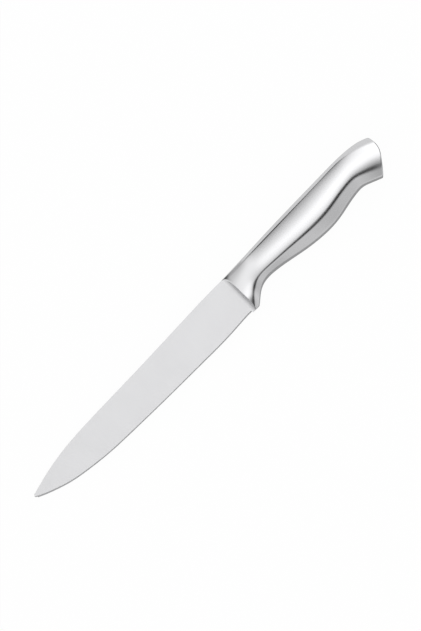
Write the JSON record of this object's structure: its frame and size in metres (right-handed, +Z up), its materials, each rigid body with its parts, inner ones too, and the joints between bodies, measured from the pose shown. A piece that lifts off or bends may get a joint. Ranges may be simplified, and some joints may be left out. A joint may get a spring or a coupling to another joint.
{
  "type": "carving knife",
  "caption": "Carving knife with a slim ground blade, a coved bolster and a welded hollow steel handle with faceted sides and a domed butt cap, lying on its side.",
  "frame": {"origin": "middle of the knife's bounding box on the table that it lies on", "axes": "+X along the cutting edge from the tip to the butt, +Y from the edge to the spine, +Z up, out of the knife's left side"},
  "size_m": [0.344, 0.037, 0.0215],
  "materials": {
    "blade_steel": "satin ground stainless steel with fine grind lines across the blade",
    "bolster_steel": "satin polished stainless steel",
    "handle_steel": "satin polished stainless steel with brushed lower facets",
    "weld_steel": "weld ground flush and polished with the steel round it"
  },
  "bodies": {
    "root": {"blade": "blade_steel", "bolster": "bolster_steel", "handle_shell_left": "handle_steel", "handle_shell_right": "handle_steel", "butt_cap": "handle_steel", "tang_welds": "weld_steel", "bolster_ring_weld": "weld_steel", "spine_seam_weld": "weld_steel", "belly_seam_weld": "weld_steel", "cap_ring_weld": "weld_steel"}
  },
  "joints": []
}
